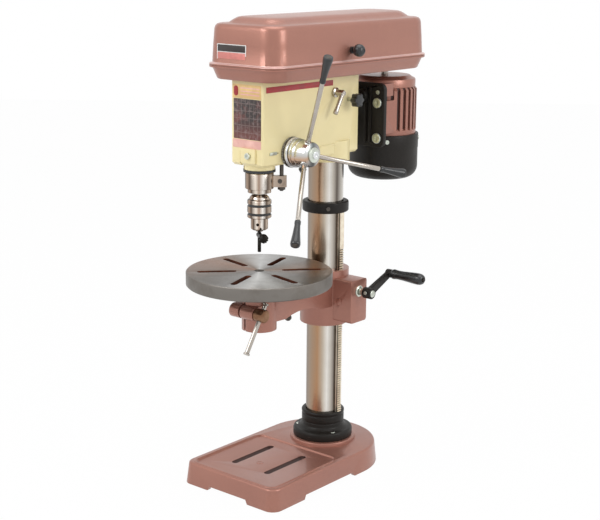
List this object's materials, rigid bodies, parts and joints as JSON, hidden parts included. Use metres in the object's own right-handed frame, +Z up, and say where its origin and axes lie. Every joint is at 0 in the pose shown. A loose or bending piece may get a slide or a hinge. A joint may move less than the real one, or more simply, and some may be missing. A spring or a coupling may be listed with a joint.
{
  "type": "benchtop drill press",
  "caption": "Benchtop drill press with ribbed motor, stepped belt drive under a hinged cover, round slotted table on a rack column and a slotted base.",
  "frame": {"origin": "middle of the machine's footprint, on the surface it stands on", "axes": "+X towards the feed handles and the table crank, +Y towards the motor, +Z up along the column"},
  "size_m": [0.35, 0.621, 0.9455],
  "materials": {
    "rose_enamel": "metallic gloss",
    "cream_enamel": "gloss",
    "black_enamel": "semi-gloss",
    "machined_iron": "turned",
    "ground_steel": "ground",
    "dark_steel": "oiled",
    "chrome": "polished",
    "alloy": "cast and turned",
    "black_plastic": "gloss",
    "belt_rubber": "matte",
    "green_plastic": "gloss",
    "red_plastic": "gloss"
  },
  "bodies": {
    "stand": {"base": "rose_enamel", "column_flange": "black_enamel", "column": "ground_steel", "rack_collar": "black_enamel", "head_casting": "cream_enamel", "spring_housing": "black_enamel", "switch_box": "black_plastic", "belt_pan": "rose_enamel", "lid_hinge_pin": "dark_steel", "idler_arm": "dark_steel", "belt_front": "belt_rubber", "belt_rear": "belt_rubber"},
    "lid": {"belt_lid": "rose_enamel", "lid_knob": "black_plastic"},
    "motor": {"motor_mount": "black_enamel", "slide_bar_right": "ground_steel", "slide_bar_left": "ground_steel", "motor_frame": "rose_enamel", "terminal_box": "black_plastic", "fan_cover": "black_enamel"},
    "rotor": {"motor_shaft": "ground_steel", "motor_pulley": "alloy", "cooling_fan": "black_plastic"},
    "idler": {"idler_pulley": "alloy"},
    "top_pulley": {"spindle_pulley": "alloy"},
    "tension_lever": {"tension_lever": "chrome"},
    "tension_knob": {"tension_knob": "black_plastic"},
    "quill": {"quill": "ground_steel", "stop_collar": "ground_steel", "stop_rod": "dark_steel"},
    "spindle": {"spindle": "ground_steel", "chuck_body": "chrome", "chuck_key": "dark_steel"},
    "chuck_sleeve": {"chuck_sleeve": "chrome"},
    "jaw_1": {"chuck_jaw_1": "dark_steel"},
    "jaw_2": {"chuck_jaw_2": "dark_steel"},
    "jaw_3": {"chuck_jaw_3": "dark_steel"},
    "feed": {"feed_pinion": "dark_steel", "feed_hub": "chrome", "hub_cap": "alloy", "feed_rod_1": "chrome", "feed_rod_2": "chrome", "feed_rod_3": "chrome", "feed_grip_1": "black_plastic", "feed_grip_2": "black_plastic", "feed_grip_3": "black_plastic"},
    "dial": {"depth_dial": "dark_steel"},
    "rack": {"rack": "dark_steel"},
    "bracket": {"table_bracket": "rose_enamel"},
    "table": {"table": "machined_iron"},
    "crank": {"worm_shaft": "ground_steel", "crank_arm": "black_enamel"},
    "crank_grip": {"crank_grip": "black_plastic"},
    "pinion": {"pinion_gear": "dark_steel"},
    "clamp_screw": {"clamp_screw": "dark_steel"},
    "clamp_bar": {"clamp_bar": "chrome"},
    "column_lock": {"column_lock": "dark_steel"},
    "start_button": {"start_button": "green_plastic"},
    "stop_button": {"stop_button": "red_plastic"}
  },
  "joints": [
    {"name": "lid_hinge", "type": "hinge", "parent": "stand", "child": "lid", "pos_m": [-0.131, 0.0255, 0.852], "axis": [0, -1, 0], "range_deg": [0, 100]},
    {"name": "motor_slide", "type": "slide", "parent": "stand", "child": "motor", "axis": [0, 1, 0], "range_m": [-0.012, 0]},
    {"name": "motor_spin", "type": "hinge", "parent": "motor", "child": "rotor", "pos_m": [-0.03, 0.2355, 0.75], "axis": [0, 0, 1], "continuous": true},
    {"name": "idler_spin", "type": "hinge", "parent": "stand", "child": "idler", "pos_m": [-0.03, 0.0105, 0.866], "axis": [0, 0, 1], "continuous": true},
    {"name": "pulley_spin", "type": "hinge", "parent": "stand", "child": "top_pulley", "pos_m": [-0.03, -0.1655, 0.866], "axis": [0, 0, 1], "continuous": true},
    {"name": "lever_turn", "type": "hinge", "parent": "stand", "child": "tension_lever", "pos_m": [0, 0.0135, 0.79], "axis": [1, 0, 0], "range_deg": [-60, 0]},
    {"name": "knob_turn", "type": "hinge", "parent": "stand", "child": "tension_knob", "pos_m": [0, 0.0585, 0.772], "axis": [1, 0, 0], "range_deg": [0, 180]},
    {"name": "quill_feed", "type": "slide", "parent": "stand", "child": "quill", "axis": [0, 0, -1], "range_m": [0, 0.06], "stiffness_N_per_m": 400, "springref_m": -0.12},
    {"name": "spindle_spin", "type": "hinge", "parent": "quill", "child": "spindle", "pos_m": [-0.03, -0.1655, 0.6], "axis": [0, 0, 1], "continuous": true},
    {"name": "sleeve_turn", "type": "hinge", "parent": "spindle", "child": "chuck_sleeve", "pos_m": [-0.03, -0.1655, 0.575], "axis": [0, 0, 1], "range_deg": [0, 120]},
    {"name": "jaw_1_slide", "type": "slide", "parent": "spindle", "child": "jaw_1", "axis": [1, 0, 0], "range_m": [0, 0.0021]},
    {"name": "jaw_2_slide", "type": "slide", "parent": "spindle", "child": "jaw_2", "axis": [-0.5, 0.866, 0], "range_m": [0, 0.0021]},
    {"name": "jaw_3_slide", "type": "slide", "parent": "spindle", "child": "jaw_3", "axis": [-0.5, -0.866, 0], "range_m": [0, 0.0021]},
    {"name": "feed_turn", "type": "hinge", "parent": "stand", "child": "feed", "pos_m": [0, -0.1195, 0.685], "axis": [1, 0, 0], "range_deg": [0, 152]},
    {"name": "dial_turn", "type": "hinge", "parent": "stand", "child": "dial", "pos_m": [0.018, -0.1195, 0.685], "axis": [1, 0, 0], "range_deg": [-170, 170]},
    {"name": "table_swing", "type": "hinge", "parent": "stand", "child": "rack", "pos_m": [-0.03, 0.0405, 0.35], "axis": [0, 0, 1], "range_deg": [-90, 90]},
    {"name": "table_lift", "type": "slide", "parent": "rack", "child": "bracket", "axis": [0, 0, -1], "range_m": [-0.035, 0.19]},
    {"name": "table_turn", "type": "hinge", "parent": "bracket", "child": "table", "pos_m": [-0.03, -0.1655, 0.43], "axis": [0, 0, 1], "continuous": true},
    {"name": "crank_turn", "type": "hinge", "parent": "bracket", "child": "crank", "pos_m": [0.07, 0.0405, 0.383], "axis": [1, 0, 0], "range_deg": [-2250, 12200]},
    {"name": "grip_spin", "type": "hinge", "parent": "crank", "child": "crank_grip", "pos_m": [0.13, 0.1105, 0.412], "axis": [1, 0, 0], "continuous": true},
    {"name": "pinion_turn", "type": "hinge", "parent": "bracket", "child": "pinion", "pos_m": [0.0293, 0.0405, 0.3597], "axis": [0, 1, 0], "range_deg": [-161, 871]},
    {"name": "clamp_turn", "type": "hinge", "parent": "bracket", "child": "clamp_screw", "pos_m": [0, -0.2035, 0.372], "axis": [1, 0, 0], "range_deg": [-75, 45]},
    {"name": "clamp_bar_slide", "type": "slide", "parent": "clamp_screw", "child": "clamp_bar", "axis": [0, 0.5299, 0.848], "range_m": [0, 0.015]},
    {"name": "lock_turn", "type": "hinge", "parent": "bracket", "child": "column_lock", "pos_m": [-0.09, 0.0405, 0.35], "axis": [1, 0, 0], "range_deg": [-40, 40]},
    {"name": "start_press", "type": "slide", "parent": "stand", "child": "start_button", "axis": [1, 0, 0], "range_m": [0, 0.004], "stiffness_N_per_m": 500, "springref_m": -0.002},
    {"name": "stop_press", "type": "slide", "parent": "stand", "child": "stop_button", "axis": [1, 0, 0], "range_m": [0, 0.004], "stiffness_N_per_m": 500, "springref_m": -0.002}
  ],
  "couplings": [
    {"joint": "idler_spin", "follows": "motor_spin", "ratio": 0.52},
    {"joint": "pulley_spin", "follows": "motor_spin", "ratio": 0.442},
    {"joint": "spindle_spin", "follows": "motor_spin", "ratio": 0.442},
    {"joint": "lever_turn", "follows": "motor_slide", "rad_per_m": 87.2},
    {"joint": "feed_turn", "follows": "quill_feed", "rad_per_m": 44.053},
    {"joint": "jaw_1_slide", "follows": "sleeve_turn", "m_per_rad": 0.000955},
    {"joint": "jaw_2_slide", "follows": "sleeve_turn", "m_per_rad": 0.000955},
    {"joint": "jaw_3_slide", "follows": "sleeve_turn", "m_per_rad": 0.000955},
    {"joint": "pinion_turn", "follows": "table_lift", "rad_per_m": 80},
    {"joint": "crank_turn", "follows": "table_lift", "rad_per_m": 1120}
  ]
}
